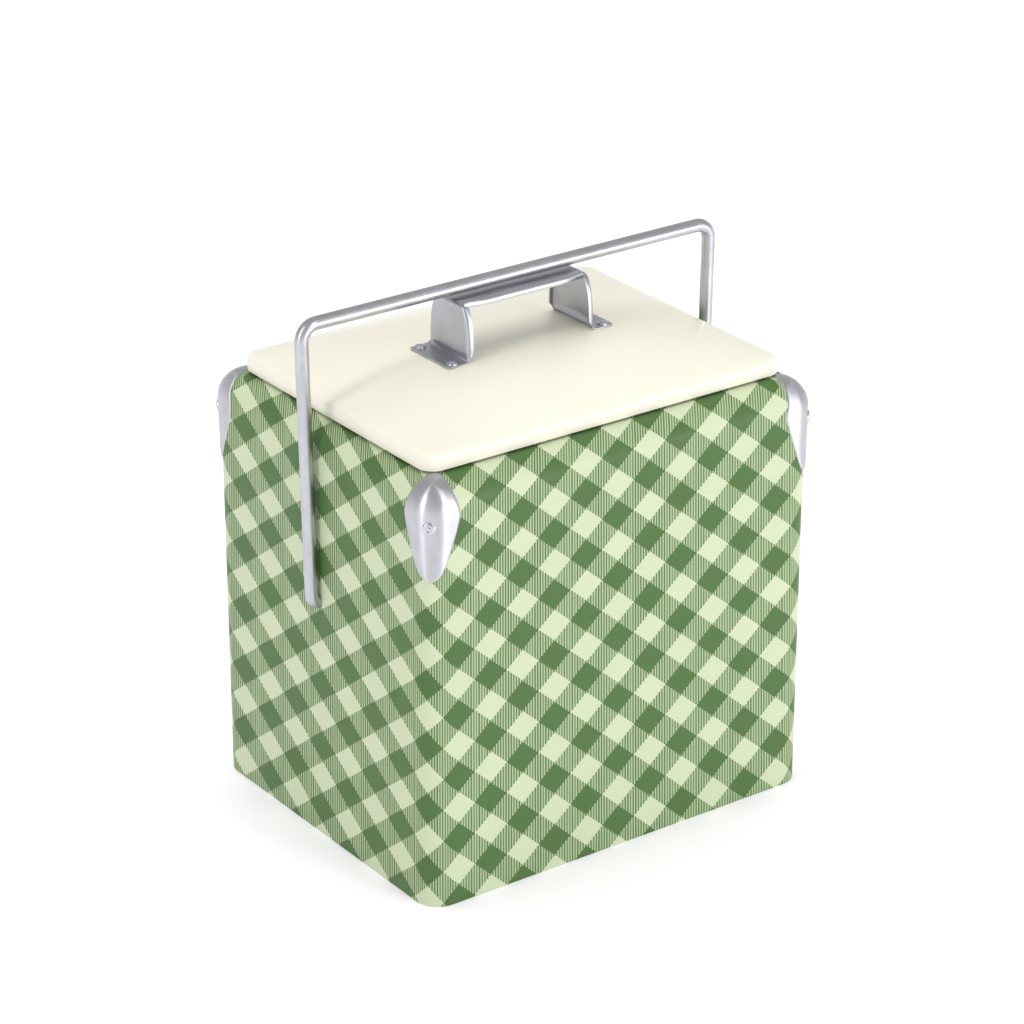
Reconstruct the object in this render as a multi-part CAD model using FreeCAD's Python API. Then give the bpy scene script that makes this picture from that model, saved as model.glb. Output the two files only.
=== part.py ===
"""Insulated metal picnic cooler chest with a lift-off lid and a swinging bail.

Millimetres, +Z up, origin at the centre of the base. X runs along the long side, and the
front faces -Y. The chest is a printed steel shell over five foam boards and a plastic liner.
The lid is a crowned steel skin over foam, with a plug that drops into the liner's mouth.
"""
import os
from math import cos, radians, sin, sqrt, tan

import FreeCAD, Part

os.makedirs("parts", exist_ok=True)
V = FreeCAD.Vector

# --- chest ---------------------------------------------------------------------------------
HALF_LENGTH = 157.5          # shell, outside
HALF_WIDTH = 128.0
CORNER_R = 17.0              # vertical corners of the shell
SHEET = 0.8                  # steel sheet of the shell, base and lid
GAP = 0.1                    # assembly gap between nested parts
SHOULDER_Z = 282.0           # where the straight wall ends
SHOULDER_RUN = 19.0          # the rolled shoulder goes inward by this much
SHOULDER_RISE = 20.0         # and up by this much
SHELL_TOP = SHOULDER_Z + SHOULDER_RISE
MOUTH = (134.5, 104.5, 20.0)         # half length, half width, corner radius of the shell's mouth

# --- liner and insulation ------------------------------------------------------------------
LINER_WALL = 1.6
CAVITY = (132.7, 102.7, 18.5)        # inside of the liner
LINER_FLANGE = (138.0, 106.0, 16.0)  # rim of the liner, lying on the shell's top
FLOOR_Z = 31.6                       # inside floor of the liner
BOARD_TOP = FLOOR_Z - LINER_WALL - 0.2
RIM_Z = SHELL_TOP + LINER_WALL       # top of the liner's rim
PAN_UPSTAND = 5.0

# --- lid -----------------------------------------------------------------------------------
LID_HALF = (144.5, 110.5)
LID_R = 12.0
LID_BOTTOM = 303.4
SKIRT_TOP = 310.0            # start of the lid's rounded edge
EDGE_R = 4.0
EDGE_END = 69.0              # degrees of the edge before the crown takes over
CROWN_Z = 326.5              # flat middle of the crown, where the handle sits
PLATEAU = (78.0, 38.0, 30.0)
PLUG = (130.7, 100.7, 16.5)
PLUG_BOTTOM = 288.0
PLUG_WALL = 1.2
LINER_PLATE_Z = 306.0        # underside of the lid liner's flange
LID_PLATE = (142.2, 109.2, 14.7)
GASKET = (137.5, 105.5, 15.5)

# --- strap handle --------------------------------------------------------------------------
STRAP_T = 1.5
STRAP_TOP = 366.0
LEG_X = 50.6                 # middle of each leg's sheet
FOOT_X = 67.3
FOOT_HALF = 22.3
TOP_HALF = 14.0
STRAP_BEND = 6.0
LIP = 3.3                    # folded edge under the top strap
LIP_END = 44.0               # where the folded edge stops, either side of the middle
RIVET_XY = (61.5, 18.3)

# --- bail ----------------------------------------------------------------------------------
ROD_R = 4.6
BAIL_X = 166.0               # middle of each bail leg at the grip bar
BAIL_FOOT_X = 162.6          # and at its foot, where it leans in to the wall
BAIL_TOP = 372.3             # middle of the grip bar
PIVOT_Z = 176.0
TOP_BEND = 11.0
FOOT_BEND = 6.6
STUB_END = 145.2
PIVOT_HOLE_R = ROD_R + 1.0    # in the shell, clear of the foot's bend
BUSH_R = 7.5
BUSH_BORE = ROD_R + 0.05     # running clearance
BUSH_X = (148.2, 155.6)

# --- corner caps ---------------------------------------------------------------------------
CAP_T = 0.9
CAP_RIVET_Z = 273.7
# Half of a cap's outline below its widest point, as (half width, height), down to the tip.
CAP_SIDE = [(18.7, 281.0), (17.9, 274.5), (15.2, 262.9), (11.5, 251.8), (7.1, 240.2), (0.0, 235.3)]
# Half of its nose seen from above, as (half width, distance outward from the corner's centre line).
CAP_NOSE = [(18.9, 5.0), (16.0, 3.8), (12.8, 1.4), (8.0, -1.7), (3.8, -4.9), (0.0, -7.2)]
RIVET_SHANK = 2.0


def rounded_wire(half_x, half_y, r, z):
    """Closed wire round a rectangle with rounded corners, in the plane at height z."""
    x, y, k = half_x - r, half_y - r, r * sqrt(0.5)
    edges = []
    for cx, cy, sx, sy in ((x, y, 1, 1), (-x, y, -1, 1), (-x, -y, -1, -1), (x, -y, 1, -1)):
        ends = [V(cx + sx * r, cy, z), V(cx, cy + sy * r, z)]
        if sx * sy < 0:
            ends.reverse()
        if edges:
            edges.append(Part.makeLine(edges[-1].Vertexes[-1].Point, ends[0]))
        edges.append(Part.Arc(ends[0], V(cx + sx * k, cy + sy * k, z), ends[1]).toShape())
    edges.append(Part.makeLine(edges[-1].Vertexes[-1].Point, edges[0].Vertexes[0].Point))
    return Part.Wire(edges)


def prism(size, z0, z1):
    """Upright prism on a rounded rectangle, size = (half x, half y, corner radius)."""
    return Part.Face(rounded_wire(*size, z0)).extrude(V(0, 0, z1 - z0))


def grown(size, d):
    """A rounded rectangle's size, moved outward by d on every side."""
    return tuple(s + d for s in size)


def chest_form(offset, z0=0.0):
    """The shell's outside, moved outward by offset: straight walls and a rolled shoulder."""
    size = (HALF_LENGTH + offset, HALF_WIDTH + offset, CORNER_R + offset)
    rings = []
    for step in range(7):
        a = radians(15 * step)
        inset = SHOULDER_RUN * (1 - cos(a))
        z = SHOULDER_Z + (SHOULDER_RISE + offset) * sin(a)
        rings.append(rounded_wire(size[0] - inset, size[1] - inset, size[2] - 0.5 * step / 6, z))
    wall = prism(size, z0, SHOULDER_Z)
    return wall.fuse(Part.makeLoft(rings, True, False)).removeSplitter()


def lid_form(offset, z0):
    """The lid skin's outside, moved outward by offset: skirt, rounded edge and crown."""
    half_x, half_y, r = LID_HALF[0] + offset, LID_HALF[1] + offset, LID_R + offset
    edge = []
    for step in range(4):
        a = radians(EDGE_END * step / 3)
        inset = (EDGE_R + offset) * (1 - cos(a))
        z = SKIRT_TOP + (EDGE_R + offset) * sin(a)
        edge.append(rounded_wire(half_x - inset, half_y - inset, r - inset, z))
    start = (half_x - inset, half_y - inset, r - inset)
    crown = []
    for step in range(7):
        s = step / 6
        size = [a + (b - a) * s for a, b in zip(start, PLATEAU)]
        crown.append(rounded_wire(*size, z + (CROWN_Z + offset - z) * (1 - (1 - s) ** 2)))
    skirt = prism((half_x, half_y, r), z0, SKIRT_TOP)
    return skirt.fuse([Part.makeLoft(edge, True, False), Part.makeLoft(crown, True, False)])


def turned(shape, degrees):
    """A copy turned about the vertical axis."""
    copy = shape.copy()
    copy.rotate(V(0, 0, 0), V(0, 0, 1), degrees)
    return copy


def bent_path(points, radii):
    """Wire through (x, z) points in the XZ plane, with a bend radius at each inner point."""
    points = [V(x, 0, z) for x, z in points]
    edges, at = [], points[0]
    for before, corner, after, r in zip(points, points[1:], points[2:], radii):
        back, on = (before - corner).normalize(), (after - corner).normalize()
        half = back.getAngle(on) / 2
        first, last = corner + back * (r / tan(half)), corner + on * (r / tan(half))
        middle = corner + (back + on).normalize() * (r / sin(half) - r)
        edges += [Part.makeLine(at, first), Part.Arc(first, middle, last).toShape()]
        at = last
    return Part.Wire(edges + [Part.makeLine(at, points[-1])])


def dome_rivet(head_r, head_h, shank_r, shank_len, tail_r=0.0, tail_h=0.0):
    """Rivet along +Z: its domed head starts at z=0, and the shank goes down."""
    sphere_r = (head_r ** 2 + head_h ** 2) / (2 * head_h)
    ball = Part.makeSphere(sphere_r, V(0, 0, head_h - sphere_r))
    head = ball.common(Part.makeCylinder(head_r + 1, head_h + 1))
    rivet = head.fuse(Part.makeCylinder(shank_r, shank_len, V(0, 0, -shank_len)))
    if tail_r:
        rivet = rivet.fuse(Part.makeCylinder(tail_r, tail_h, V(0, 0, -shank_len)))
    return rivet.removeSplitter()


# Diagonals through the four corners, as (name, sign of x, sign of y).
CORNERS = (("front_left", -1, -1), ("front_right", 1, -1),
           ("back_right", 1, 1), ("back_left", -1, 1))


def corner_axis(sx, sy, distance, z):
    """A point at a distance from the corner's centre line, and the outward diagonal."""
    out = V(sx * sqrt(0.5), sy * sqrt(0.5), 0)
    centre = V(sx * (HALF_LENGTH - CORNER_R), sy * (HALF_WIDTH - CORNER_R), z)
    return centre + out * distance, out


def aimed(shape, point, direction):
    """A shape made along +Z at the origin, moved to point and aimed along direction."""
    copy = shape.copy()
    copy.Placement = FreeCAD.Placement(point, FreeCAD.Rotation(V(0, 0, 1), direction))
    return copy


def at_corners(shape, distance, z):
    """Copies of a shape aimed outward along each corner's diagonal."""
    return [aimed(shape, *corner_axis(sx, sy, distance, z)) for _, sx, sy in CORNERS]


# --- the chest's shell, base, insulation and liner -------------------------------------------
cap_outside = CORNER_R + GAP + CAP_T
cap_rivet_holes = at_corners(Part.makeCylinder(RIVET_SHANK + 0.05, 30, V(0, 0, -20)),
                             cap_outside, CAP_RIVET_Z)
pivot_hole = Part.makeCylinder(PIVOT_HOLE_R, 400, V(-200, 0, PIVOT_Z), V(1, 0, 0))

outer_shell = chest_form(0).cut([chest_form(-SHEET, -1), prism(MOUTH, 290, 310),
                                 pivot_hole] + cap_rivet_holes)

pan_outer = (HALF_LENGTH - SHEET - GAP, HALF_WIDTH - SHEET - GAP, CORNER_R - SHEET - GAP)
base_pan = prism(pan_outer, 0, PAN_UPSTAND).cut(prism(grown(pan_outer, -SHEET), SHEET, 10))

foam = chest_form(-SHEET - GAP, BOARD_TOP + GAP)
foam = foam.common(prism((200, 200, 20), BOARD_TOP + GAP, SHELL_TOP - SHEET - 0.2))
liner_outside = grown(CAVITY, LINER_WALL)
bush_pocket = Part.makeCylinder(BUSH_R + GAP, 30, V(STUB_END - 0.8, 0, PIVOT_Z), V(1, 0, 0))
cap_pockets = at_corners(Part.makeCylinder(RIVET_SHANK + 1.0, 20, V(0, 0, -12)),
                         cap_outside, CAP_RIVET_Z)
foam = foam.cut([prism(grown(liner_outside, 0.2), 0, 400), bush_pocket, turned(bush_pocket, 180)]
                + cap_pockets)
joint_y = liner_outside[1] + 0.2
long_board = Part.makeBox(400, 100, 400, V(-200, -joint_y - 100, 0))
insulation = {
    "front": foam.common(long_board),
    "back": foam.common(turned(long_board, 180)),
    "left": foam.common(Part.makeBox(200, 2 * (joint_y - GAP), 400, V(-200, -joint_y + GAP, 0))),
    "right": foam.common(Part.makeBox(200, 2 * (joint_y - GAP), 400, V(0, -joint_y + GAP, 0))),
    "bottom": prism(grown(pan_outer, -SHEET - 0.2), SHEET + 0.2, BOARD_TOP),
}

inner_liner = prism(LINER_FLANGE, SHELL_TOP, RIM_Z).fuse(
    prism(liner_outside, FLOOR_Z - LINER_WALL, SHELL_TOP))
inner_liner = inner_liner.cut(prism(CAVITY, FLOOR_Z, RIM_Z + 1)).removeSplitter()

# --- corner caps: pressed teardrops that follow the shell's corner and shoulder ---------------
def stamp_face(half, make_point, far):
    """Face inside a smooth curve through half an outline and its mirror image, closed at far."""
    points = [make_point(u, t) for u, t in half] + [make_point(-u, t) for u, t in half[-2::-1]]
    curve = Part.BSplineCurve()
    curve.interpolate(points)
    u = half[0][0]
    back = Part.makePolygon([points[-1], make_point(-u, far), make_point(u, far), points[0]])
    return Part.Face(Part.Wire([curve.toShape()] + back.Edges))


side_stamp = stamp_face(CAP_SIDE, lambda u, z: V(-15, u, z), 310).extrude(V(60, 0, 0))
nose_stamp = stamp_face(CAP_NOSE, lambda u, d: V(d, u, 230), 40).extrude(V(0, 0, 80))
teardrop = side_stamp.common(nose_stamp)
cap_layer = chest_form(GAP + CAP_T).cut([chest_form(GAP)] + cap_rivet_holes)
caps = {}
for name, sx, sy in CORNERS:
    start, out = corner_axis(sx, sy, 0, 0)
    stamp = teardrop.copy()
    stamp.Placement = FreeCAD.Placement(start, FreeCAD.Rotation(V(1, 0, 0), out))
    caps[name] = cap_layer.common(stamp)
cap_rivet = dome_rivet(4.5, 1.7, RIVET_SHANK, 7.0, RIVET_SHANK + 0.8, 2.0)
corner_cap_rivets = Part.makeCompound(at_corners(cap_rivet, cap_outside, CAP_RIVET_Z))

# --- bail: one bent rod, its two bushes and its two push-on retainers ------------------------
half_path = bent_path([(STUB_END, PIVOT_Z), (BAIL_FOOT_X, PIVOT_Z), (BAIL_X, BAIL_TOP),
                       (0, BAIL_TOP)], [FOOT_BEND, TOP_BEND])
rod_section = Part.Wire(Part.makeCircle(ROD_R, V(STUB_END, 0, PIVOT_Z), V(1, 0, 0)))
half_bail = half_path.makePipeShell([rod_section], True, False)
bail = half_bail.fuse(turned(half_bail, 180)).removeSplitter()

bush = Part.makeCylinder(BUSH_R, BUSH_X[1] - BUSH_X[0], V(BUSH_X[0], 0, PIVOT_Z), V(1, 0, 0))
bush = bush.cut(Part.makeCylinder(BUSH_BORE, 40, V(130, 0, PIVOT_Z), V(1, 0, 0)))
retainer = Part.makeCylinder(6.8, 0.8, V(BUSH_X[0] - 1.0, 0, PIVOT_Z), V(1, 0, 0))
retainer = retainer.cut(Part.makeCylinder(ROD_R + 0.02, 40, V(130, 0, PIVOT_Z), V(1, 0, 0)))

# --- lid -------------------------------------------------------------------------------------
rivet_holes = [Part.makeCylinder(RIVET_SHANK + 0.05, 30, V(sx * RIVET_XY[0], sy * RIVET_XY[1], 305))
               for _, sx, sy in CORNERS]
tail_pockets = [Part.makeCylinder(6.0, 8, V(sx * RIVET_XY[0], sy * RIVET_XY[1], CROWN_Z - 6.5))
                for _, sx, sy in CORNERS]
lid_skin = lid_form(0, LID_BOTTOM).cut([lid_form(-SHEET, LID_BOTTOM - 1)] + rivet_holes)

lid_liner = prism(LID_PLATE, LINER_PLATE_Z, LINER_PLATE_Z + PLUG_WALL).fuse(
    prism(PLUG, PLUG_BOTTOM, LINER_PLATE_Z))
plug_inside = grown(PLUG, -PLUG_WALL)
lid_liner = lid_liner.cut(prism(plug_inside, PLUG_BOTTOM + PLUG_WALL, 310)).removeSplitter()

foam_z = LINER_PLATE_Z + PLUG_WALL + GAP
lid_insulation = lid_form(-SHEET - 0.2, foam_z).fuse(
    prism(grown(plug_inside, -GAP), PLUG_BOTTOM + PLUG_WALL + GAP, foam_z))
lid_insulation = lid_insulation.removeSplitter().cut(tail_pockets)

lid_gasket = prism(GASKET, RIM_Z + 0.2, LINER_PLATE_Z).cut(prism(grown(PLUG, GAP), 290, 320))

# --- strap handle ----------------------------------------------------------------------------
foot_z, top_z = CROWN_Z + STRAP_T / 2, STRAP_TOP - STRAP_T / 2
strap_path = [(-FOOT_X, foot_z), (-LEG_X, foot_z), (-LEG_X, top_z),
              (LEG_X, top_z), (LEG_X, foot_z), (FOOT_X, foot_z)]
strap_section = Part.makePolygon([V(-FOOT_X, sy * FOOT_HALF, foot_z + sz * STRAP_T / 2)
                                  for sy, sz in ((-1, -1), (1, -1), (1, 1), (-1, 1), (-1, -1))])
strap = bent_path(strap_path, [STRAP_BEND] * 4).makePipeShell([strap_section], True, False)
half_outline = [(FOOT_HALF, CROWN_Z - 1), (FOOT_HALF, 353), (16.5, 361.5),
                (TOP_HALF, STRAP_TOP - LIP), (TOP_HALF, STRAP_TOP + 1)]
outline = [V(-100, y, z) for y, z in half_outline]
outline += [V(-100, -y, z) for y, z in reversed(half_outline)]
strap = strap.common(Part.Face(Part.makePolygon(outline + outline[:1])).extrude(V(200, 0, 0)))
foot_block = prism((FOOT_X, FOOT_HALF, 5.0), CROWN_Z - 1, STRAP_TOP + 1)
lips = [Part.makeBox(2 * LIP_END, STRAP_T, LIP, V(-LIP_END, y, STRAP_TOP - STRAP_T / 2 - LIP))
        for y in (-TOP_HALF, TOP_HALF - STRAP_T)]
strap_handle = strap.common(foot_block).fuse(lips).removeSplitter().cut(rivet_holes)

handle_rivet = dome_rivet(3.8, 2.0, RIVET_SHANK, 5.2, 3.2, 1.0)
handle_rivets = Part.makeCompound([
    aimed(handle_rivet, V(sx * RIVET_XY[0], sy * RIVET_XY[1], CROWN_Z + STRAP_T), V(0, 0, 1))
    for _, sx, sy in CORNERS])
washer = Part.makeCylinder(5.0, 1.0).cut(Part.makeCylinder(RIVET_SHANK + 0.1, 1.0))
handle_rivet_washers = Part.makeCompound([
    aimed(washer, V(sx * RIVET_XY[0], sy * RIVET_XY[1], CROWN_Z - SHEET - 1.1), V(0, 0, 1))
    for _, sx, sy in CORNERS])

# --- one STEP file per piece -----------------------------------------------------------------
pieces = {
    "outer_shell": outer_shell,
    "base_pan": base_pan,
    "inner_liner": inner_liner,
    "corner_cap_rivets": corner_cap_rivets,
    "pivot_bush_right": bush,
    "pivot_bush_left": turned(bush, 180),
    "bail": bail,
    "bail_retainer_right": retainer,
    "bail_retainer_left": turned(retainer, 180),
    "lid_skin": lid_skin,
    "lid_insulation": lid_insulation,
    "lid_liner": lid_liner,
    "lid_gasket": lid_gasket,
    "strap_handle": strap_handle,
    "handle_rivets": handle_rivets,
    "handle_rivet_washers": handle_rivet_washers,
}
pieces.update({"insulation_" + name: board for name, board in insulation.items()})
pieces.update({"corner_cap_" + name: cap for name, cap in caps.items()})
for node, shape in pieces.items():
    shape.exportStep("parts/%s.step" % node)
    print(node, len(shape.Solids), "solid(s), valid", shape.isValid(),
          "volume %.1f cm3" % (shape.Volume / 1000))
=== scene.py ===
"""Looks of the picnic cooler chest: printed shell, enamelled lid, satin metal fittings.

Lengths are in millimetres and become metres in build(). The front faces -Y, and X runs along
the long side.
"""
from math import copysign, cos, exp, pi, radians, sin, sqrt, tan

import bmesh
import bpy
from mathutils import Matrix, Vector


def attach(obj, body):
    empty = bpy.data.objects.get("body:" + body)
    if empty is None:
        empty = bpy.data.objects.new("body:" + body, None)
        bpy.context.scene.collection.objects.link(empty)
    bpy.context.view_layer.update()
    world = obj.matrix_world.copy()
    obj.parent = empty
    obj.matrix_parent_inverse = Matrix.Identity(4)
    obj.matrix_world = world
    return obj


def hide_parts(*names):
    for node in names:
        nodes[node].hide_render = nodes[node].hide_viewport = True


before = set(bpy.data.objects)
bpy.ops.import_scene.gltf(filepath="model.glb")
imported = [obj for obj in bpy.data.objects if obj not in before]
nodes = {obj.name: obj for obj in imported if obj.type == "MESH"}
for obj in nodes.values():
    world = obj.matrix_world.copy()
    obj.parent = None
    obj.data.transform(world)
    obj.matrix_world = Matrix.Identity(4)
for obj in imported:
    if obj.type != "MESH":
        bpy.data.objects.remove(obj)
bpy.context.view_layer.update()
scene = bpy.context.scene

MM = 0.001

# Chest. Outlines of rounded rectangles are (half length, half width, corner radius).
HALF_X, HALF_Y, CORNER_R, SHEET = 157.5, 128.0, 17.0, 0.8
SHOULDER_Z, RUN, RISE = 282.0, 19.0, 20.0   # where the shoulder starts, how far it goes in and up
SHOULDER_ARC = 19.5                     # mean radius of the rolled shoulder
SHOULDER_R_LOSS = 0.5                   # what the corner radius loses on the way up it
SHELL_TOP = SHOULDER_Z + RISE
SEAM_RISE, SEAM_HALF = 0.6, 0.025       # lock seam at the back: how far out, and its reach in t
MOUTH = (134.5, 104.5, 20.0)
CAVITY = (132.7, 102.7, 18.5)
LINER_FLANGE = (138.0, 106.0, 16.0)
LINER_WALL, LINER_FLOOR_Z, LINER_RIM_Z = 1.6, 31.6, 303.6
LINER_FOOT_R, LINER_FLOOR_R = 8, 7      # outside and inside
PAN = (156.6, 127.1, 16.1)
PAN_EDGE_R, PAN_TOP = 1.6, 5.0
PLATE_INSET = 60                        # from the edge of a flat plate to its innermost ring

# Lid and its strap handle.
LID = (144.5, 110.5, 12.0)
LID_BOTTOM, LID_EDGE_Z, LID_EDGE_R = 303.4, 310.0, 4.0
LID_EDGE_TURN = 76                      # degrees that the edge turns before the crown takes over
CROWN_RISE, CROWN_POWER = 14.9, 2.5
CROWN_R_GAIN = 22                       # what the corner radius gains towards the middle
PLUG = (130.7, 100.7, 16.5)
PLUG_BOTTOM, PLUG_WALL, PLUG_PLATE_Z, PLUG_FOOT_R = 288.0, 1.2, 306.0, 4
LID_PLATE = (142.2, 109.2, 14.7)
GASKET = (137.5, 105.5, 15.5)
FOAM_GAP = 0.1                          # between the plug's walls and its foam
STRAP_FOOT_Z, STRAP_TOP, STRAP_T = 327.25, 366.0, 1.5
LEG_X, FOOT_X, FOOT_HALF = 50.6, 67.3, 22.3
STRAP_FOOT_BEND, STRAP_TOP_BEND = 3.0, 2.2
HANDLE_RIVET = (61.5, 18.3)

# Bail and caps.
ROD_R, BAIL_X, BAIL_TOP = 4.6, 166.0, 372.3
BAIL_FOOT_X, STUB_END, PIVOT_Z = 162.6, 145.2, 176.0
BAIL_FOOT_BEND, BAIL_TOP_BEND = 6.6, 11.0
CAP_RIVET_DROP, CAP_RIVET_OUT = 8.3, 2.1    # below the shoulder, and outside the shell's corner
CORNERS = {"front_left": (-1, -1), "front_right": (1, -1), "back_right": (1, 1), "back_left": (-1, 1)}


# --- mesh helpers ----------------------------------------------------------------------------
def build(name, points, faces, material, uvs=None):
    """Mesh object from points in millimetres. uvs holds one pair for each corner of each face."""
    mesh = bpy.data.meshes.new(name)
    mesh.from_pydata([(x * MM, y * MM, z * MM) for x, y, z in points], [], faces)
    if uvs:
        layer = mesh.uv_layers.new(name="UVMap")
        layer.data.foreach_set("uv", [v for pair in uvs for v in pair])
    tidy = bmesh.new()
    tidy.from_mesh(mesh)
    bmesh.ops.recalc_face_normals(tidy, faces=tidy.faces)
    tidy.to_mesh(mesh)
    tidy.free()
    mesh.shade_smooth()
    piece = bpy.data.objects.new(name, mesh)
    scene.collection.objects.link(piece)
    mesh.materials.append(material)
    return piece


def sharpen(piece, degrees=35):
    """Smooth shading that breaks at edges sharper than the angle."""
    bend = bmesh.new()
    bend.from_mesh(piece.data)
    for edge in bend.edges:
        if len(edge.link_faces) == 2 and edge.calc_face_angle() > radians(degrees):
            edge.smooth = False
    bend.to_mesh(piece.data)
    bend.free()


def soften(piece, width):
    """Bevels a piece's hard edges."""
    bevel = piece.modifiers.new("edges", "BEVEL")
    bevel.width, bevel.segments = width * MM, 2
    bevel.limit_method, bevel.angle_limit = "ANGLE", radians(40)


def install(piece, body, slot, *replaced):
    """Puts a finished piece on its body and hides the CAD nodes it stands for. slot is not used."""
    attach(piece, body)
    if replaced:
        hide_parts(*replaced)


def rounded(points, radii, steps=9):
    """Polyline in a plane with its corners rounded, one radius for each, as rod or sheet is bent."""
    path = [Vector(points[0])]
    for before, at, after, radius in zip(points, points[1:], points[2:], radii):
        at = Vector(at)
        u, v = (Vector(before) - at).normalized(), (Vector(after) - at).normalized()
        half = u.angle(v) / 2
        centre = at + (u + v).normalized() * radius / sin(half)
        start, end = at + u * radius / tan(half) - centre, at + v * radius / tan(half) - centre
        sweep = copysign(pi - 2 * half, start.cross(end))
        path += [centre + Matrix.Rotation(sweep * i / steps, 2) @ start for i in range(steps + 1)]
    return path + [Vector(points[-1])]


def spaced(path, step):
    """The same polyline with more points, about a step apart at most."""
    dense = [path[0]]
    for a, b in zip(path, path[1:]):
        count = max(1, round((b - a).length / step + 0.49))
        dense += [a.lerp(b, i / count) for i in range(1, count + 1)]
    return dense


def normals(path):
    """For each point of a polyline in the XZ plane, the unit vector on its left."""
    found = []
    for i in range(len(path)):
        along = (path[min(i + 1, len(path) - 1)] - path[max(i - 1, 0)]).normalized()
        found.append(Vector((-along.y, along.x)))
    return found


def grid_faces(rows, columns, closed=False):
    """Quads of a grid of points stored row by row. closed joins each row's ends."""
    last = columns if closed else columns - 1
    return [(i * columns + k, i * columns + (k + 1) % columns,
             (i + 1) * columns + (k + 1) % columns, (i + 1) * columns + k)
            for i in range(rows - 1) for k in range(last)]


# Places round a rounded rectangle, from the middle of the back by way of the left end. Each is
# (side, t): t runs along a straight side's X or Y, from -1 to 1, or round a corner, from 0 to 1.
# The places at the middle of the back are close together, because the shell's seam is there.
LONG_STEPS, SHORT_STEPS, ARC_STEPS = 28, 24, 14
HALF_BACK = [0, 0.012, 0.022, 0.028, 0.034] + [2 * i / LONG_STEPS for i in range(1, LONG_STEPS // 2)]
ARC = [i / ARC_STEPS for i in range(ARC_STEPS)]
PLACES = [("back_west", -t) for t in HALF_BACK]
PLACES += [("back_left", t) for t in ARC]
PLACES += [("left", 1 - 2 * i / SHORT_STEPS) for i in range(SHORT_STEPS)]
PLACES += [("front_left", t) for t in ARC]
PLACES += [("front", -1 + 2 * i / LONG_STEPS) for i in range(LONG_STEPS)]
PLACES += [("front_right", t) for t in ARC]
PLACES += [("right", -1 + 2 * i / SHORT_STEPS) for i in range(SHORT_STEPS)]
PLACES += [("back_right", t) for t in ARC]
PLACES += [("back_east", 1.0)] + [("back_east", t) for t in reversed(HALF_BACK)]
CORNER_START = {"back_left": 90, "front_left": 180, "front_right": 270, "back_right": 0}


def ring(size, z, seam=0.0):
    """Points round a rounded rectangle. seam is how far the lock seam stands out at the back."""
    half_x, half_y, r = size
    x, y = half_x - r, half_y - r
    points = []
    for side, t in PLACES[:-1]:
        if side in CORNER_START:
            a = radians(CORNER_START[side] + 90 * t)
            sx, sy = CORNERS[side]
            points.append((sx * x + r * cos(a), sy * y + r * sin(a), z))
        elif side == "front":
            points.append((x * t, -half_y, z))
        elif side.startswith("back"):
            points.append((x * t, half_y + (seam if abs(t) < SEAM_HALF else 0), z))
        else:
            points.append((-half_x if side == "left" else half_x, y * t, z))
    return points


def loft(name, rings, material, closed=True, uv_at=None):
    """Skin through rings. closed joins the last ring to the first; otherwise both ends are capped."""
    n = len(rings[0])
    points = [p for one in rings for p in one]
    faces, uvs = [], []
    for i in range(len(rings) if closed else len(rings) - 1):
        j = (i + 1) % len(rings)
        for k in range(n):
            m = (k + 1) % n
            faces.append((i * n + k, i * n + m, j * n + m, j * n + k))
            if uv_at:
                uvs += [uv_at(i, k), uv_at(i, k + 1), uv_at(j, k + 1), uv_at(j, k)]
    if not closed:
        for start in (0, (len(rings) - 1) * n):
            points.append(tuple(sum(points[start + k][c] for k in range(n)) / n for c in range(3)))
            faces += [(start + k, start + (k + 1) % n, len(points) - 1) for k in range(n)]
    return build(name, points, faces, material, uvs)


def turned(name, profile, places, material, steps=40):
    """Turned pieces in one object, one at each (origin, axis).

    The profile is (radius, height), from the foot to the middle of the head.
    """
    points, faces = [], []
    for origin, axis in places:
        aim = Vector((0, 0, 1)).rotation_difference(Vector(axis)).to_matrix()
        start = len(points)
        for r, h in profile:
            for k in range(steps):
                a = 2 * pi * k / steps
                points.append(tuple(Vector(origin) + aim @ Vector((r * cos(a), r * sin(a), h))))
        faces += [tuple(start + k for k in quad) for quad in grid_faces(len(profile), steps, True)]
        last = len(points) - steps
        faces += [tuple(start + k for k in range(steps)), tuple(last + k for k in range(steps))]
    return build(name, points, faces, material)


def inset(size, d):
    """A rounded rectangle's size, moved inward by d on every side."""
    return tuple(s - d for s in size)


def fillet(size, z, r, start, end, steps=6):
    """Rings round an edge of radius r that rises: start and end are its angles in degrees."""
    rings = []
    for i in range(steps + 1):
        a = radians(start + (end - start) * i / steps)
        rings.append(ring(inset(size, r * (1 - cos(a))), z + r * sin(a)))
    return rings


# --- materials -------------------------------------------------------------------------------
def srgb(r, g, b):
    """A colour from 0-255 screen values, as the linear value that a shader takes."""
    return tuple(((v / 255 + 0.055) / 1.055) ** 2.4 for v in (r, g, b)) + (1.0,)


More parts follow.
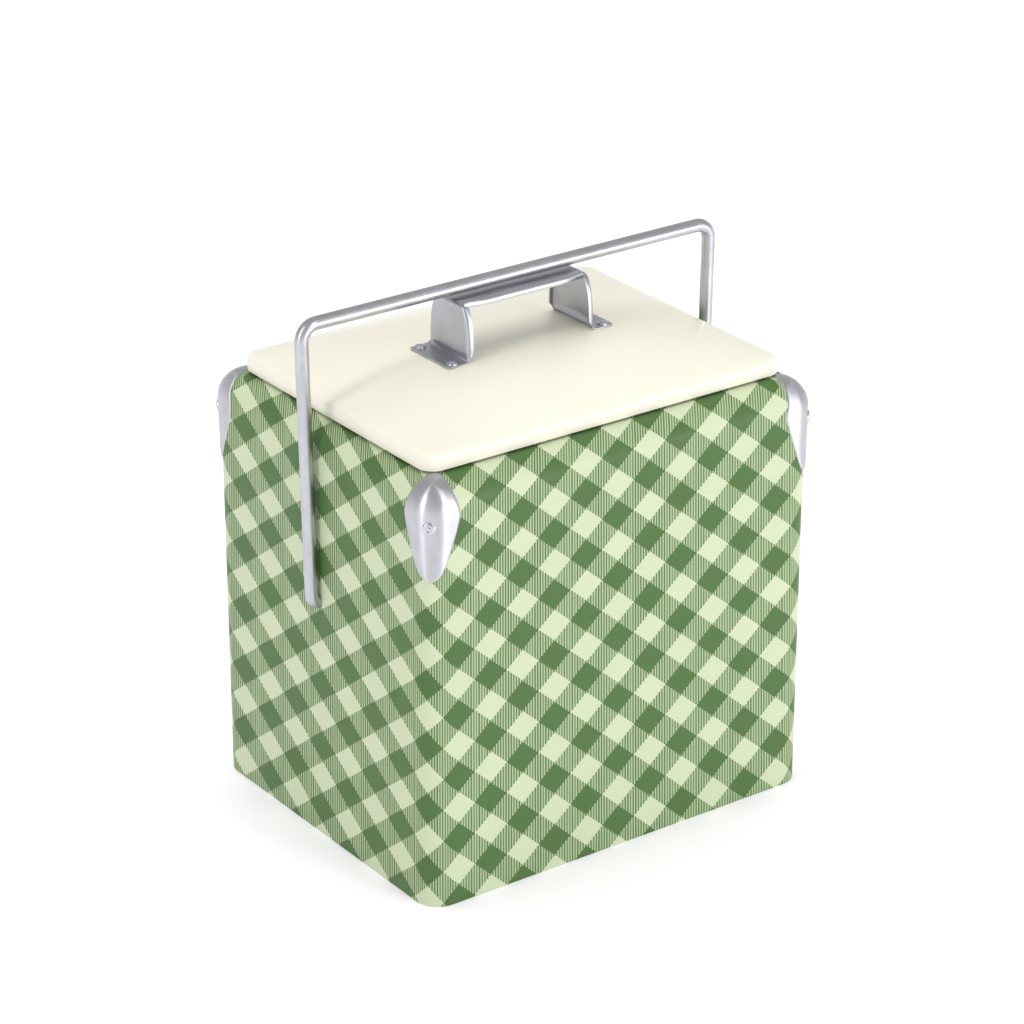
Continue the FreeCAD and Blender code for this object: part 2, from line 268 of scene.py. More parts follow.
class Surface:
    """A material with one Principled shader. Constants go on its own sockets."""

    def __init__(self, name, **sockets):
        self.material = bpy.data.materials.new(name)
        self.material.use_nodes = True
        self.tree = self.material.node_tree
        self.shader = self.tree.nodes["Principled BSDF"]
        for socket, value in sockets.items():
            self.shader.inputs[socket.replace("_", " ")].default_value = value

    def add(self, kind, *inputs, **settings):
        """Adds a node. Each input is a constant, a socket to link, or None to leave it."""
        made = self.tree.nodes.new("ShaderNode" + kind)
        for name, value in settings.items():
            setattr(made, name, value)
        for socket, value in zip(made.inputs, inputs):
            if isinstance(value, bpy.types.NodeSocket):
                self.tree.links.new(value, socket)
            elif value is not None:
                socket.default_value = value
        return made

    def math(self, operation, *inputs):
        return self.add("Math", *inputs, operation=operation).outputs[0]

    def set(self, name, socket):
        self.tree.links.new(socket, self.shader.inputs[name])

    def place(self, stretch=(1, 1, 1)):
        """Object coordinates, stretched so that noise runs along a direction."""
        coords = self.add("TexCoord").outputs["Object"]
        mapping = self.add("Mapping", coords)
        mapping.inputs["Scale"].default_value = stretch
        return mapping.outputs[0]

    def noise(self, place, scale, detail=3.0, low=0.0, high=1.0):
        """Noise spread between two values."""
        made = self.add("TexNoise", place)
        made.inputs["Scale"].default_value, made.inputs["Detail"].default_value = scale, detail
        return self.add("MapRange", made.outputs[0], 0.3, 0.7, low, high, clamp=False).outputs[0]

    def shade(self, colour, factor):
        """Links a colour times a factor to the shader's colour."""
        scaled = self.add("VectorMath", operation="SCALE")
        if isinstance(colour, bpy.types.NodeSocket):
            self.tree.links.new(colour, scaled.inputs[0])
        else:
            scaled.inputs[0].default_value = colour[:3]
        self.tree.links.new(factor, scaled.inputs["Scale"])
        self.set("Base Color", scaled.outputs[0])

    def bump(self, height, distance, strength=1.0):
        made = self.add("Bump")
        made.inputs["Strength"].default_value = strength
        made.inputs["Distance"].default_value = distance * MM
        self.tree.links.new(height, made.inputs["Height"])
        self.set("Normal", made.outputs[0])


def mixed(surface, factor, a, b):
    """Colour socket: a where factor is 0, b where it is 1."""
    made = surface.add("Mix", data_type="RGBA")
    sockets = [s for s in made.inputs if s.enabled]
    for socket, value in zip(sockets, (factor, a, b)):
        if isinstance(value, bpy.types.NodeSocket):
            surface.tree.links.new(value, socket)
        else:
            socket.default_value = value
    return next(s for s in made.outputs if s.enabled)


THREADS = 12                            # printed lines across one cell of the check
STAGGER = 0.55                          # how far a cell's slanted edge is stepped from line to line
LINE_GAP = 0.38                         # pale share of a line's width
PALEST_INK, INK_SPREAD = 0.75, 0.25
LINED_PALE, LINED_INK = srgb(174, 190, 150), srgb(82, 110, 66)
DARK_CELL, LIGHT_CELL = srgb(76, 107, 59), srgb(193, 204, 171)


def check_print():
    """Green gingham litho print: dark, light and lined diamonds on a diagonal."""
    s = Surface("check_print", Specular_IOR_Level=0.2)
    cells = s.add("SeparateXYZ", s.add("UVMap", uv_map="UVMap").outputs[0])
    across, up = cells.outputs[0], cells.outputs[1]
    fine = s.math("MULTIPLY", across, THREADS)
    thread = s.math("FLOOR", fine)
    stepped = s.math("DIVIDE", s.math("ADD", thread, 0.5), THREADS)
    across = s.math("ADD", s.math("MULTIPLY", across, 1 - STAGGER), s.math("MULTIPLY", stepped, STAGGER))
    odd = []
    for operation in ("ADD", "SUBTRACT"):
        stripe = s.math("ROUND", s.math(operation, across, up))
        odd.append(s.math("FLOORED_MODULO", stripe, 2.0))
    light = s.math("MULTIPLY", *odd)
    dark = s.math("COMPARE", s.math("ADD", *odd), 0.0, 0.5)
    chance = s.add("TexWhiteNoise", None, thread, noise_dimensions="1D").outputs[0]
    line = s.math("GREATER_THAN", s.math("FRACT", fine), LINE_GAP)
    ink = s.math("MULTIPLY", line, s.math("MULTIPLY_ADD", chance, INK_SPREAD, PALEST_INK))
    colour = mixed(s, ink, LINED_PALE, LINED_INK)
    colour = mixed(s, dark, colour, DARK_CELL)
    colour = mixed(s, light, colour, LIGHT_CELL)
    place = s.place()
    s.shade(colour, s.math("MULTIPLY", s.noise(place, 1400, 2, 0.97, 1.03),
                           s.noise(place, 14, 2, 0.985, 1.015)))
    s.set("Roughness", s.noise(place, 60, 4, 0.36, 0.5))
    s.bump(s.noise(place, 900, 2), 0.02, 0.5)
    return s.material


def enamel(name, colour):
    """Glossy baked enamel with a faint orange-peel ripple."""
    s = Surface(name, Specular_IOR_Level=0.5, Coat_Weight=0.35, Coat_Roughness=0.1)
    place = s.place()
    s.shade(colour, s.noise(place, 22, 3, 0.925, 0.945))
    s.set("Roughness", s.noise(place, 35, 4, 0.32, 0.38))
    s.bump(s.noise(place, 170, 2), 0.015, 0.6)
    return s.material


def metal(name, colour, roughness, grain, spread=0.08, marks=0.1, brushed=0.25):
    """Satin metal. Its marks run where grain is small, and brushed is how far highlights stretch."""
    s = Surface(name, Metallic=1.0, Anisotropic=brushed, Anisotropic_Rotation=0.25)
    place, lines = s.place(), s.place(grain)
    s.shade(colour, s.math("MULTIPLY", s.noise(lines, 1.0, 4, 1 - marks, 1 + marks),
                           s.noise(place, 45, 4, 0.94, 1.05)))
    s.set("Roughness", s.noise(place, 120, 4, roughness - spread, roughness + spread))
    s.bump(s.noise(lines, 1.0, 3), 0.03, 0.5)
    return s.material


def plastic(name, colour, roughness, scale=700, depth=0.03):
    """Moulded plastic or foam skin with a fine grain."""
    s = Surface(name, Specular_IOR_Level=0.45)
    place = s.place()
    s.shade(colour, s.noise(place, 18, 3, 0.96, 1.02))
    s.set("Roughness", s.noise(place, 90, 3, roughness - 0.06, roughness + 0.06))
    s.bump(s.noise(place, scale, 3), depth, 0.7)
    return s.material


def foam_beads():
    """Bead foam: pale cells pressed together, with painted shade in the grooves between them."""
    s = Surface("bead_foam", Roughness=0.85, Specular_IOR_Level=0.25)
    place = s.place()
    cells = s.add("TexVoronoi", place, feature="DISTANCE_TO_EDGE")
    cells.inputs["Scale"].default_value = 330
    # edge is low at the cells' borders. It darkens the colour there, a painted shade in the grooves that
    # the bump below presses.
    edge = s.add("MapRange", cells.outputs[0], 0.0, 0.12, 0.82, 1.0).outputs[0]
    s.shade(srgb(240, 240, 232), s.math("MULTIPLY", edge, s.noise(place, 25, 3, 0.96, 1.02)))
    s.bump(edge, 0.4, 0.8)
    return s.material


PRINT = check_print()
ENAMEL = enamel("cream_enamel", srgb(238, 234, 217))
CAP = metal("polished_cap_metal", srgb(199, 200, 205), 0.4, (300, 300, 30), 0.04, 0.04, brushed=0.85)
RIVET = metal("rivet_metal", srgb(196, 196, 200), 0.24, (300, 300, 300), 0.04, 0.05)
BAIL = metal("drawn_rod_metal", srgb(188, 189, 194), 0.34, (120, 500, 120), 0.03, 0.06)
STRAP = metal("pressed_strap_metal", srgb(182, 183, 189), 0.36, (220, 60, 220), 0.05, 0.04)
GALVANISED = metal("galvanised_base", srgb(170, 173, 178), 0.45, (60, 60, 60), marks=0.12)
SPRING = metal("spring_steel", srgb(150, 150, 156), 0.4, (300, 300, 300))
LINER = plastic("liner_plastic", srgb(236, 238, 236), 0.32)
NYLON = plastic("bush_nylon", srgb(232, 231, 222), 0.45)
RUBBER = plastic("gasket_rubber", srgb(210, 210, 204), 0.62, 500, 0.06)
FOAM = foam_beads()


# --- printed shell ---------------------------------------------------------------------------
# The check print on each wall, in cells: across at the middle of the wall's foot, and what it gains
# for each decimetre along and up. Then the same for up. The last two say how far the print slides
# along the wall, and how far it climbs, for each millimetre that the shoulder goes inward.
WALL_PRINT = {"front": (0.146, 3.72, 0.065, -6.776, 0.242, 4.193, 0.72, 0.56),
              "left": (-0.053, 3.09, 0.114, -6.851, 0.294, 4.145, 1.38, 0.78)}
ACROSS_BEND, UP_SHEAR, UP_BEND = 0.06, 0.075, 0.077     # how its rows and columns curve
LEFT_SHIFT = 10                         # cells from the left wall's count to the front's
ROUND_CORNER = 1.29                     # cells round a corner
BACK_CELL = 25.6                        # width of a cell on the back
FOLD_CLIMB = 0.7                        # on the back and the right, climb for each mm inward
WALL_X, WALL_Y = HALF_X - CORNER_R, HALF_Y - CORNER_R
CORNER_ENDS = {"back_left": (("back_west", -1), ("left", 1)),
               "front_left": (("left", -1), ("front", -1)),
               "front_right": (("front", 1), ("right", -1)),
               "back_right": (("right", 1), ("back_east", 1))}


def wall_print(wall, s, z, back=0.0):
    """Cells across and up on the front or left wall: s along it, z up, and back inward."""
    start, pitch, lean, foot, slope, rise, slide, climb = WALL_PRINT[wall]
    s, z = (s - slide * back) / 100, (z + climb * back) / 100
    across = start + pitch * s + lean * z + ACROSS_BEND * s * z - ACROSS_BEND * s * s
    up = foot + slope * s + rise * z - UP_SHEAR * s * z + UP_BEND * z * z
    return Vector((across, up) if wall == "front" else (-across - LEFT_SHIFT, up))


def print_at(side, t, x, y, z, back):
    """Cells at a place on the outline. x and y are the half lengths of its straight sides."""
    if side in CORNER_ENDS:
        start, end = (print_at(*place, x, y, z, back) for place in CORNER_ENDS[side])
        return start.lerp(end, t)
    if side == "front":
        return wall_print("front", x * t, z, back)
    if side == "left":
        return wall_print("left", y * t, z, back)
    z += FOLD_CLIMB * back
    if side == "back_west":
        return wall_print("left", WALL_Y, z) - Vector((ROUND_CORNER + (WALL_X + x * t) / BACK_CELL, 0))
    gone = wall_print("left", y * t if side == "right" else WALL_Y, z) - wall_print("left", -WALL_Y, z)
    at = wall_print("front", WALL_X, z) + Vector((ROUND_CORNER - gone.x, gone.y))
    return at if side == "right" else at + Vector((ROUND_CORNER + (WALL_X - x * t) / BACK_CELL, 0))


def shoulder(offset, steps=10):
    """(size, z) of rings up the rolled shoulder, moved outward by offset."""
    found = []
    for i in range(1, steps + 1):
        a = pi / 2 * i / steps
        half_x, half_y, _ = inset((HALF_X, HALF_Y, 0), RUN * (1 - cos(a)) - offset)
        size = (half_x, half_y, CORNER_R + offset - SHOULDER_R_LOSS * i / steps)
        found.append((size, SHOULDER_Z + (RISE + offset) * sin(a)))
    return found


def make_shell():
    full = (HALF_X, HALF_Y, CORNER_R)
    inner = inset(full, SHEET)
    bands = [(inset(full, 0.45), 0.0), (inset(full, 0.12), 0.2), (full, 0.6)]
    bands += [(full, SHOULDER_Z * i / 16) for i in range(1, 17)]
    bands += shoulder(0)
    seam_end = len(bands) - 6           # the seam is hammered flat from here up
    lip = ((-0.6, 0.0), (-0.15, 0.15), (0.0, 0.5), (0.0, 0.75))
    bands += [(inset(MOUTH, d), SHELL_TOP - drop) for d, drop in lip]
    bands += list(reversed(shoulder(-SHEET)))
    bands += [(inner, SHOULDER_Z), (inner, SHOULDER_Z / 2), (inner, 0.6), (inset(full, 0.7), 0.1)]
    rings = [ring(size, z, SEAM_RISE if 1 < i < seam_end else 0) for i, (size, z) in enumerate(bands)]

    def uv_at(i, k):
        (half_x, half_y, r), z = bands[i]
        return print_at(*PLACES[k], half_x - r, half_y - r, z, HALF_Y - half_y)

    shell = loft("printed_shell", rings, PRINT, uv_at=uv_at)
    sharpen(shell, 50)
    install(shell, "chest", "printed_shell", "outer_shell")


make_shell()


# --- base pan and liner ----------------------------------------------------------------------
def make_base():
    rings = [ring(inset(PAN, PLATE_INSET), 0)] + fillet(PAN, PAN_EDGE_R, PAN_EDGE_R, -90, 0)
    rim = ((0.0, 0.3), (0.3, 0.0), (SHEET, 0.2))
    rings += [ring(inset(PAN, d), PAN_TOP - drop) for d, drop in rim]
    rings += [ring(inset(PAN, SHEET), PAN_EDGE_R), ring(inset(PAN, PAN_EDGE_R), SHEET)]
    rings += [ring(inset(PAN, PLATE_INSET), SHEET)]
    pan = loft("base_pan", rings, GALVANISED, closed=False)
    sharpen(pan, 50)
    install(pan, "chest", "base_steel", "base_pan")


def make_liner():
    outside = inset(CAVITY, -LINER_WALL)
    foot = LINER_FLOOR_Z - LINER_WALL
    middle = inset(CAVITY, PLATE_INSET)
    rings = [ring(middle, foot)] + fillet(outside, foot + LINER_FOOT_R, LINER_FOOT_R, -90, 0)
    rings += [ring(outside, SHELL_TOP)]
    flange = ((0.5, SHELL_TOP), (0.0, SHELL_TOP + 0.5), (0.0, LINER_RIM_Z - 0.5), (0.5, LINER_RIM_Z))
    rings += [ring(inset(LINER_FLANGE, d), z) for d, z in flange]
    brim = ((-1.4, 0.0), (-0.4, 0.4), (0.0, 1.4))
    rings += [ring(inset(CAVITY, d), LINER_RIM_Z - drop) for d, drop in brim]
    rings += [ring(CAVITY, 160)]
    rings += list(reversed(fillet(CAVITY, LINER_FLOOR_Z + LINER_FLOOR_R, LINER_FLOOR_R, -90, 0)))
    rings += [ring(middle, LINER_FLOOR_Z)]
    liner = loft("inner_liner", rings, LINER, closed=False)
    sharpen(liner, 50)
    install(liner, "chest", "liner_plastic", "inner_liner")


make_base()
make_liner()


# --- corner caps -----------------------------------------------------------------------------
CAP_TOP, CAP_WIDEST, CAP_TIP = 28.7, -3.0, -46.5    # along the sheet, from the foot of the shoulder
CAP_HALF, CAP_NARROWING = 21.8, 0.74    # half width, and the share of it lost towards the tip
CAP_GAP, CAP_EDGE, CAP_EDGE_RUN, CAP_SWELL = 0.1, 0.85, 0.7, 1.3    # what lifts it off the sheet


def cap_half_width(t):
    """Half the cap's width round the corner, at a height t along the sheet from the shoulder."""
    if t > CAP_WIDEST:
        u = (t - CAP_WIDEST) / (CAP_TOP - CAP_WIDEST)
        return CAP_HALF * max(0.0, 1 - u ** 1.6) ** 0.95
    v = (CAP_WIDEST - t) / (CAP_WIDEST - CAP_TIP)
    return CAP_HALF * (1 - CAP_NARROWING * v ** 1.2) * sqrt(max(0.0, 1 - v ** 16))


def on_corner(a, t, lift):
    """Point on the corner of the chest, lifted off the sheet: a is the distance from the diagonal."""
    roll = max(0.0, t) / SHOULDER_ARC
    back = RUN * (1 - cos(roll))
    r = CORNER_R - SHOULDER_R_LOSS * roll / (pi / 2)
    reach = min(abs(a), r * pi / 4)
    turn, along = reach / r, abs(a) - reach
    out = r + lift * cos(roll)
    # In the corner's own axes: p runs outward along the diagonal, q across it.
    p, q = out * cos(turn) - along * sin(turn), copysign(out * sin(turn) + along * cos(turn), a)
    x = HALF_X - back - r + (p + q) * sqrt(0.5)
    y = HALF_Y - back - r + (p - q) * sqrt(0.5)
    z = SHOULDER_Z + (t if t < 0 else (RISE + lift) * sin(roll))
    return x, y, z


def cap_lift(a, half):
    """Height of the pressed cap above the sheet: a turned-down edge and a swelling middle."""
    edge = CAP_EDGE * (1 - exp(-(half - abs(a)) / CAP_EDGE_RUN))
    c = a / half
    return CAP_GAP + edge + CAP_SWELL * (1 - c * c) ** 2 * (half / CAP_HALF) ** 0.5


def make_caps():
    rows, columns = 56, 33
    for name, (sx, sy) in CORNERS.items():
        front, back = [], []
        for i in range(rows):
            f = 0.5 - 0.5 * cos(pi * (i + 0.25) / (rows - 0.5))
            t = CAP_TOP + (CAP_TIP - CAP_TOP) * f
            half = cap_half_width(t)
            for k in range(columns):
                a = half * sin(pi * (k / (columns - 1) - 0.5))
                for layer, lift in ((front, cap_lift(a, half)), (back, CAP_GAP / 2)):
                    x, y, z = on_corner(a, t, lift)
                    layer.append((sx * x, sy * y, z))
        faces = grid_faces(rows, columns)
        base = len(front)
        faces += [tuple(base + k for k in reversed(quad)) for quad in faces]
        rim = [k for k in range(columns)] + [i * columns + columns - 1 for i in range(1, rows)]
        rim += [(rows - 1) * columns + k for k in range(columns - 2, -1, -1)]
        rim += [i * columns for i in range(rows - 2, 0, -1)]
        faces += [(a, b, base + b, base + a) for a, b in zip(rim, rim[1:] + rim[:1])]
        cap = build("corner_cap_" + name, front + back, faces, CAP)
        sharpen(cap, 60)
        install(cap, "chest", "cap_metal", "corner_cap_" + name)


def make_cap_rivets():
    profile = [(1.9, -8), (1.9, -1.2), (4.5, -1.2), (4.5, 0.0), (4.38, 0.4), (4.05, 0.75), (3.5, 1.02),
               (2.9, 1.18), (2.35, 1.22), (2.05, 1.12), (1.9, 0.85), (1.82, 0.5), (1.25, 0.45),
               (1.2, 0.8), (1.0, 1.0), (0.6, 1.08)]
    out = CORNER_R + CAP_RIVET_OUT
    places = []
    for sx, sy in CORNERS.values():
        x, y = HALF_X - CORNER_R + out * sqrt(0.5), HALF_Y - CORNER_R + out * sqrt(0.5)
        places.append(((sx * x, sy * y, SHOULDER_Z - CAP_RIVET_DROP), (sx, sy, 0)))
    rivets = turned("corner_cap_rivets", profile, places, RIVET)
    sharpen(rivets, 50)
    install(rivets, "chest", "rivet_metal", "corner_cap_rivets")


make_caps()
make_cap_rivets()


# --- lid -------------------------------------------------------------------------------------
CROWN_SIZE = inset(LID, LID_EDGE_R * (1 - cos(radians(LID_EDGE_TURN))))
CROWN_Z = LID_EDGE_Z + LID_EDGE_R * sin(radians(LID_EDGE_TURN))


def crown(x, y):
    """Height of the lid's outside: a soft dome over its rectangle."""
    a, b = min(1, abs(x) / CROWN_SIZE[0]), min(1, abs(y) / CROWN_SIZE[1])
    return CROWN_Z + CROWN_RISE * (1 - a ** CROWN_POWER) * (1 - b ** CROWN_POWER)


def crown_rings(drop=0.0, steps=22):
    """Rings over the crown, from its rim to its middle, lowered by drop."""
    rings = []
    for i in range(1, steps):
        s = 1 - i / steps
        half_x, half_y = CROWN_SIZE[0] * s, CROWN_SIZE[1] * s
        r = min(CROWN_SIZE[2] + CROWN_R_GAIN * (1 - s), half_y * 0.9)
        flat = ring((half_x, half_y, r), 0)
        rings.append([(x, y, crown(x, y) - drop) for x, y, _ in flat])
    return rings


def make_lid():
    inside = inset(LID, SHEET)
    rings = list(reversed(crown_rings(SHEET)))
    rings += list(reversed(fillet(inside, LID_EDGE_Z, LID_EDGE_R - SHEET, 0, LID_EDGE_TURN)))
    rings += [ring(inside, LID_BOTTOM + 0.3), ring(inset(LID, 0.55), LID_BOTTOM)]
    rings += [ring(inset(LID, 0.2), LID_BOTTOM), ring(LID, LID_BOTTOM + 0.35)]
    rings += fillet(LID, LID_EDGE_Z, LID_EDGE_R, 0, LID_EDGE_TURN, steps=9) + crown_rings()
    skin = loft("lid_skin", rings, ENAMEL, closed=False)
    sharpen(skin, 60)
    install(skin, "lid", "lid_enamel", "lid_skin")

    foam_edge = inset(LID, SHEET + 0.3)
    core = inset(PLUG, PLUG_WALL + FOAM_GAP)
    foot, plate = PLUG_BOTTOM + PLUG_WALL + 0.3, PLUG_PLATE_Z + PLUG_WALL + FOAM_GAP
    rings = list(reversed(crown_rings(SHEET + 0.4)))
    rings += [ring(foam_edge, LID_EDGE_Z), ring(foam_edge, plate), ring(core, plate)]
    rings += [ring(core, PLUG_BOTTOM + PLUG_FOOT_R), ring(inset(core, 3), foot)]
    rings += [ring(inset(core, PLATE_INSET), foot)]
    install(loft("lid_insulation", rings, FOAM, closed=False), "lid", "foam", "lid_insulation")


def make_lid_liner():
    inside = inset(PLUG, PLUG_WALL)
    knee, floor = PLUG_BOTTOM + PLUG_FOOT_R, PLUG_BOTTOM + PLUG_WALL
    rings = [ring(inset(PLUG, PLATE_INSET), PLUG_BOTTOM)] + fillet(PLUG, knee, PLUG_FOOT_R, -90, 0)
    rings += [ring(PLUG, PLUG_PLATE_Z - 1), ring(inset(PLUG, -0.8), PLUG_PLATE_Z)]
    edge = ((0.3, 0.0), (0.0, 0.3), (0.0, PLUG_WALL - 0.3), (0.3, PLUG_WALL))
    rings += [ring(inset(LID_PLATE, d), PLUG_PLATE_Z + up) for d, up in edge]
    rings += [ring(inside, PLUG_PLATE_Z + PLUG_WALL), ring(inside, knee)]
    rings += [ring(inset(inside, 2.8), floor), ring(inset(inside, PLATE_INSET), floor)]
    liner = loft("lid_liner", rings, LINER, closed=False)
    sharpen(liner, 50)
    install(liner, "lid", "liner_plastic", "lid_liner")

    hole = inset(PLUG, -0.9)
    outer_lip = ((0.8, 303.8), (0.15, 304.4), (0.0, 305.2), (0.2, PLUG_PLATE_Z))
    inner_lip = ((0.0, PLUG_PLATE_Z), (-0.1, 304.6), (-0.7, 303.85))
    rings = [ring(inset(GASKET, d), z) for d, z in outer_lip]
    rings += [ring(inset(hole, d), z) for d, z in inner_lip]
    gasket = loft("lid_gasket", rings, RUBBER)
    sharpen(gasket, 50)
    install(gasket, "lid", "gasket_rubber", "lid_gasket")


make_lid()
make_lid_liner()


# --- strap handle ----------------------------------------------------------------------------
TOE_R = 3.0                             # corner radius of the feet, seen from above
WAIST, GRIP_GAIN = 12.0, 2.0            # half width at the top of the legs, and what the grip adds
FOLD_LOW, FOLD_GAIN = 0.3, 3.4          # depth of the folded edge on the feet, and what it gains
LEG_BOW = 3.0                           # how far the legs' faces bow out


def strap_section(x, z):
    """(half width, depth of the folded edge, bow of the face) of the strap at a point of its path."""
    if z < STRAP_FOOT_Z + 1:
        short = max(0.0, TOE_R - (FOOT_X - abs(x)))
        return FOOT_HALF - (TOE_R - sqrt(max(0.0, TOE_R * TOE_R - short * short))), FOLD_LOW, 0.0
    rise = z - STRAP_FOOT_Z
    low = min(1.0, rise / 6)
    top = STRAP_TOP - STRAP_T / 2 - STRAP_FOOT_Z
    leg = WAIST + (FOOT_HALF - WAIST - 0.2) * sqrt(max(0.0, 1 - (rise / top) ** 3))
    middle = max(0.0, min(1.0, (LEG_X - 3 - abs(x)) / 16))
    half = leg + GRIP_GAIN * middle * middle * (3 - 2 * middle)
    return half, FOLD_LOW + FOLD_GAIN * low * low, LEG_BOW * low * (1 - rise / top) * (1 - middle)


def make_strap():
    top_z = STRAP_TOP - STRAP_T / 2
    path = rounded([(-FOOT_X, STRAP_FOOT_Z), (-LEG_X, STRAP_FOOT_Z), (-LEG_X, top_z),
                    (LEG_X, top_z), (LEG_X, STRAP_FOOT_Z), (FOOT_X, STRAP_FOOT_Z)],
                   [STRAP_FOOT_BEND, STRAP_TOP_BEND, STRAP_TOP_BEND, STRAP_FOOT_BEND], steps=12)
    path = spaced(path, 1.0)
    across = 19
    points = []
    for p, out in zip(path, normals(path)):
        half, fold, bow = strap_section(p.x, p.y)
        r = min(1.7, fold)
        face = []
        for k in range(across):
            y = (half - r) * (2 * k / (across - 1) - 1)
            face.append((y, bow * (1 - (y / half) ** 2)))
        turn = [(half - r + r * sin(a), r * cos(a) - r) for a in (pi / 8, pi / 4, 3 * pi / 8, pi / 2)]
        edge = turn + [(half, -0.5 * (r + fold)), (half, -fold - 0.02)]
        section = [(-y, d) for y, d in reversed(edge)] + face + edge
        points += [(p.x + out.x * d, y, p.y + out.y * d) for y, d in section]
    strap = build("strap_handle", points, grid_faces(len(path), across + 12), STRAP)
    skin = strap.modifiers.new("sheet", "SOLIDIFY")
    skin.thickness, skin.offset, skin.use_even_offset = (STRAP_T - 0.2) * MM, 0.0, True
    soften(strap, 0.3)
    install(strap, "lid", "strap_metal", "strap_handle")

    profile = [(1.9, -6), (1.9, -0.3), (3.8, -0.3), (3.8, 0.35), (3.6, 0.8), (3.1, 1.15), (2.6, 1.25),
               (2.3, 1.1), (2.1, 1.05), (1.9, 1.35), (1.4, 1.75), (0.8, 1.95)]
    places = [((sx * HANDLE_RIVET[0], sy * HANDLE_RIVET[1], STRAP_FOOT_Z + STRAP_T / 2), (0, 0, 1))
              for sx, sy in CORNERS.values()]
    rivets = turned("handle_rivets", profile, places, RIVET)
    sharpen(rivets, 50)
    install(rivets, "lid", "rivet_metal", "handle_rivets")


make_strap()


# --- bail ------------------------------------------------------------------------------------
def make_bail():
    path = rounded([(STUB_END, PIVOT_Z), (BAIL_FOOT_X, PIVOT_Z), (BAIL_X, BAIL_TOP),
                    (-BAIL_X, BAIL_TOP), (-BAIL_FOOT_X, PIVOT_Z), (-STUB_END, PIVOT_Z)],
                   [BAIL_FOOT_BEND, BAIL_TOP_BEND, BAIL_TOP_BEND, BAIL_FOOT_BEND], steps=14)
    path = spaced(path, 12)
    steps = 40
    points = []
    for p, side in zip(path, normals(path)):
        for k in range(steps):
            a = 2 * pi * k / steps
            d, y = ROD_R * cos(a), ROD_R * sin(a)
            points.append((p.x + side.x * d, y, p.y + side.y * d))
    faces = grid_faces(len(path), steps, closed=True)
    faces += [tuple(range(steps)), tuple(len(points) - steps + k for k in range(steps))]
    bail = build("bail", points, faces, BAIL)
    sharpen(bail, 60)
    install(bail, "bail", "bail_metal", "bail")


make_bail()


# --- pieces whose CAD shape stays ------------------------------------------------------------
KEPT = {"insulation_front": (FOAM, 0.6), "insulation_back": (FOAM, 0.6), "insulation_left": (FOAM, 0.6),
        "insulation_right": (FOAM, 0.6), "insulation_bottom": (FOAM, 0.6),
        "pivot_bush_left": (NYLON, 0.3), "pivot_bush_right": (NYLON, 0.3),
        "bail_retainer_left": (SPRING, 0.15), "bail_retainer_right": (SPRING, 0.15),
        "handle_rivet_washers": (SPRING, 0.15)}
for node, (finish, edge) in KEPT.items():
    nodes[node].data.materials.clear()
    nodes[node].data.materials.append(finish)
    soften(nodes[node], edge)


# --- floor, light and camera -----------------------------------------------------------------
def make_floor():
    s = Surface("floor", Roughness=0.9, Specular_IOR_Level=0.1, Emission_Strength=0.19,
                Emission_Color=(1, 1, 1, 1))
    s.shade(srgb(238, 236, 240), s.noise(s.place(), 3, 2, 0.995, 1.005))
    half, steps = 8000, 8
    points = [(half * (2 * i / steps - 1), half * (2 * k / steps - 1), 0)
              for i in range(steps + 1) for k in range(steps + 1)]
    build("floor", points, grid_faces(steps + 1, steps + 1), s.material)


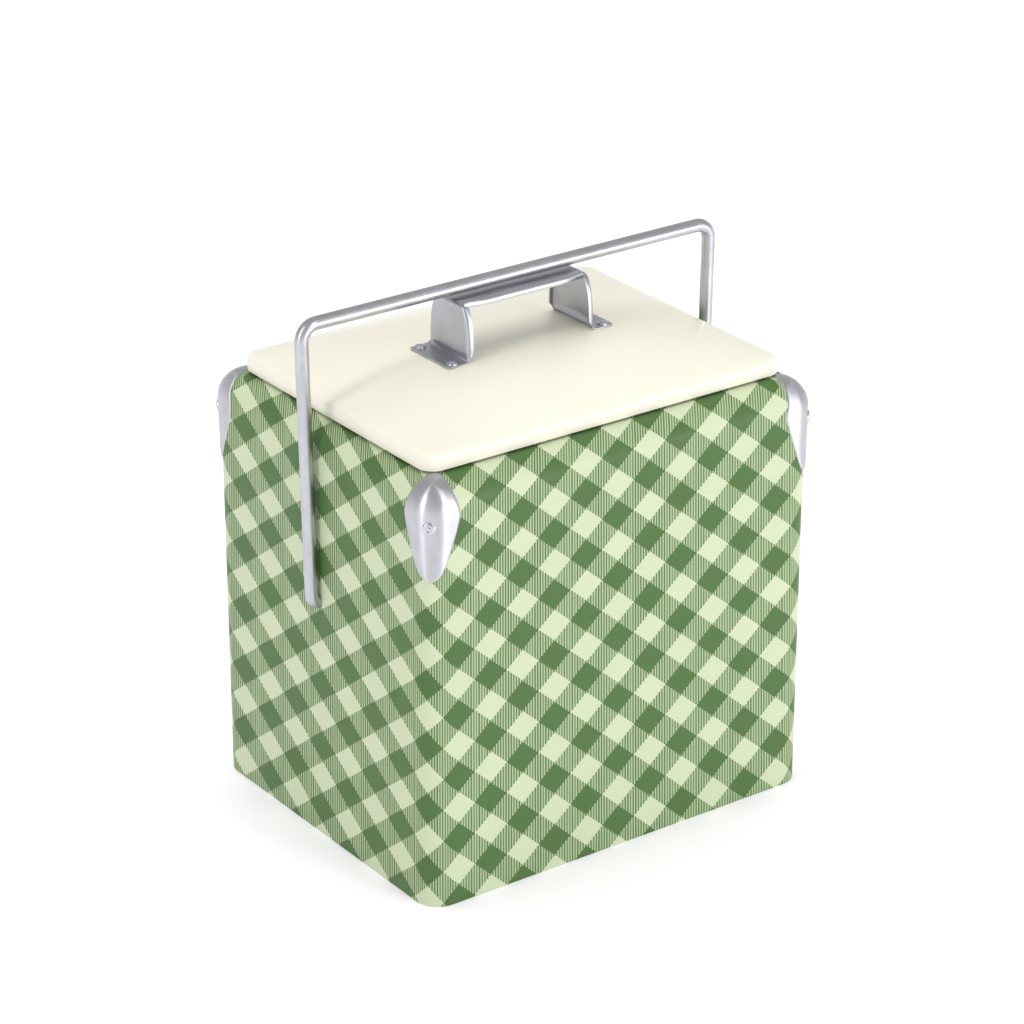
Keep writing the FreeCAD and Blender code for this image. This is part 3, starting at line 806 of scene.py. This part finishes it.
def make_sky():
    """White at the horizon and greyer overhead, as in a light tent."""
    scene.world = bpy.data.worlds.new("sky")
    scene.world.use_nodes = True
    tree = scene.world.node_tree
    coords = tree.nodes.new("ShaderNodeTexCoord")
    split = tree.nodes.new("ShaderNodeSeparateXYZ")
    ramp = tree.nodes.new("ShaderNodeValToRGB")
    tree.links.new(coords.outputs["Generated"], split.inputs[0])
    tree.links.new(split.outputs["Z"], ramp.inputs[0])
    tree.links.new(ramp.outputs[0], tree.nodes["Background"].inputs[0])
    stops = ((0.0, 0.8), (0.1, 0.62), (0.6, 0.6), (1.0, 0.56))
    while len(ramp.color_ramp.elements) < len(stops):
        ramp.color_ramp.elements.new(0.5)
    for element, (at, grey) in zip(ramp.color_ramp.elements, stops):
        element.position, element.color = at, (grey, grey, grey, 1)
    tree.nodes["Background"].inputs[1].default_value = 1.0


def lamp(name, kind, at, aim, energy, size, glossy=True):
    """A light at a place in metres, aimed at another. A sun's size is its angle in degrees."""
    light = bpy.data.lights.new(name, kind)
    light.energy = energy
    if kind == "AREA":
        light.shape, light.size, light.size_y = "RECTANGLE", *size
    else:
        light.angle = radians(size)
    holder = bpy.data.objects.new(name, light)
    holder.location = at
    holder.rotation_euler = (Vector(aim) - Vector(at)).to_track_quat("-Z", "Y").to_euler()
    holder.visible_glossy = glossy
    scene.collection.objects.link(holder)


CAMERA_AT, CAMERA_AIM, CAMERA_LENS = (-1.34298, -1.86009, 1.24212), (0.04326, 0.06005, 0.165), 130.35
CHEST_MIDDLE = (0, 0, 0.25)


def make_camera():
    camera = bpy.data.objects.new("camera", bpy.data.cameras.new("camera"))
    camera.data.lens, camera.data.sensor_width = CAMERA_LENS, 36.0
    camera.data.clip_end = 60
    camera.location = CAMERA_AT
    aim = Vector(CAMERA_AIM) - camera.location
    camera.rotation_euler = aim.to_track_quat("-Z", "Y").to_euler()
    scene.collection.objects.link(camera)
    scene.camera = camera


make_floor()
make_sky()
lamp("key", "SUN", (0.2, 0.7, 3.0), (0, 0, 0.2), 1.52, 60, glossy=False)
lamp("left_strip", "AREA", (-2.3, -0.25, 1.4), CHEST_MIDDLE, 17, (0.45, 2.4))
lamp("front_strip", "AREA", (0.5, -2.3, 1.4), CHEST_MIDDLE, 14, (0.45, 2.4))
lamp("low_panel", "AREA", (1.0, -2.0, 0.3), CHEST_MIDDLE, 14.5, (1.6, 0.5))
make_camera()
scene.view_settings.view_transform = "Standard"
scene.view_settings.look = "None"
